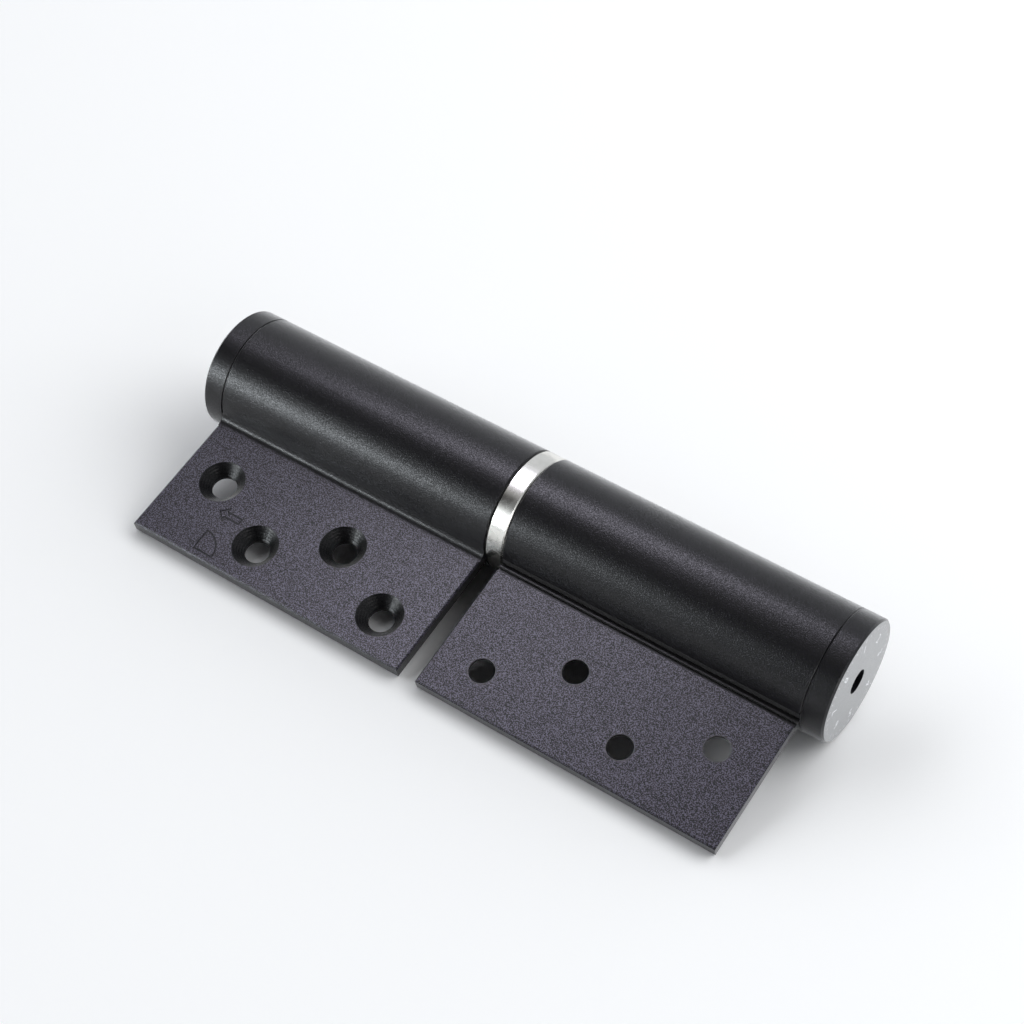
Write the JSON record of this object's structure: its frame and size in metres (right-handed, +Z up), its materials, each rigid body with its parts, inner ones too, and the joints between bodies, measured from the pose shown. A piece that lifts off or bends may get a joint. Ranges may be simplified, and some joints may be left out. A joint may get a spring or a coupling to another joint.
{
  "type": "door hinge",
  "caption": "Barrel door hinge with flat screw leaves, a ball bearing under the ring between its barrels, and a closing spring with an oil damper inside.",
  "frame": {"origin": "centre of the bounding box seen from above, on the table that the hinge lies on", "axes": "+X along the pin from the door half to the frame half, +Z up from the table, and the leaves reach towards -Y"},
  "size_m": [0.1824, 0.0674, 0.032],
  "materials": {
    "black_coat": "satin",
    "polished_stainless": "polished",
    "machined_steel": "satin",
    "hardened_steel": "polished",
    "spring_steel": "satin",
    "bronze": "satin",
    "brass": "satin",
    "nylon": "matte",
    "nitrile_rubber": "matte"
  },
  "bodies": {
    "frame": {"frame_leaf": "black_coat", "frame_end_cap": "black_coat", "hydraulic_cylinder": "machined_steel", "end_plug": "brass", "end_plug_o_ring": "nitrile_rubber", "cylinder_head": "machined_steel", "head_o_ring": "nitrile_rubber", "shaft_seal": "nitrile_rubber", "lower_race": "hardened_steel", "centre_ring": "polished_stainless", "cylinder_key": "machined_steel"},
    "door": {"door_leaf": "black_coat", "door_end_cap": "black_coat", "spindle": "machined_steel", "spindle_key": "machined_steel", "door_bush": "bronze", "upper_race": "hardened_steel", "thrust_washer": "machined_steel", "circlip": "spring_steel", "closing_spring": "spring_steel"},
    "bearing": {"bearing_cage": "nylon", "bearing_balls": "hardened_steel"},
    "piston": {"piston": "machined_steel", "drive_pins": "hardened_steel", "piston_seal": "nitrile_rubber", "valve_spring": "spring_steel", "valve_clip": "spring_steel"},
    "check_ball": {"valve_ball": "hardened_steel"},
    "speed_screw": {"speed_screw": "machined_steel", "speed_screw_o_ring": "nitrile_rubber"}
  },
  "joints": [
    {"name": "door_swing", "type": "hinge", "parent": "frame", "child": "door", "pos_m": [0, 0.0177, 0.016], "axis": [1, 0, 0], "range_deg": [0, 182.5], "stiffness_Nm_per_rad": 0.65, "springref_deg": -89.95, "deforming": ["closing_spring"]},
    {"name": "bearing_roll", "type": "hinge", "parent": "frame", "child": "bearing", "pos_m": [0, 0.0177, 0.016], "axis": [1, 0, 0], "range_deg": [0, 105]},
    {"name": "piston_slide", "type": "slide", "parent": "frame", "child": "piston", "axis": [-1, 0, 0], "range_m": [0, 0.01522]},
    {"name": "check_valve_lift", "type": "slide", "parent": "piston", "child": "check_ball", "axis": [1, 0, 0], "range_m": [0, 0.0008], "stiffness_N_per_m": 50, "springref_m": -0.0004, "deforming": ["valve_spring"]},
    {"name": "speed_screw_turn", "type": "hinge", "parent": "frame", "child": "speed_screw", "pos_m": [0, 0.0177, 0.016], "axis": [1, 0, 0], "range_deg": [-180, 360]}
  ],
  "couplings": [
    {"joint": "bearing_roll", "follows": "door_swing", "ratio": 0.5},
    {"joint": "piston_slide", "follows": "door_swing", "m_per_rad": 0.0047746}
  ]
}
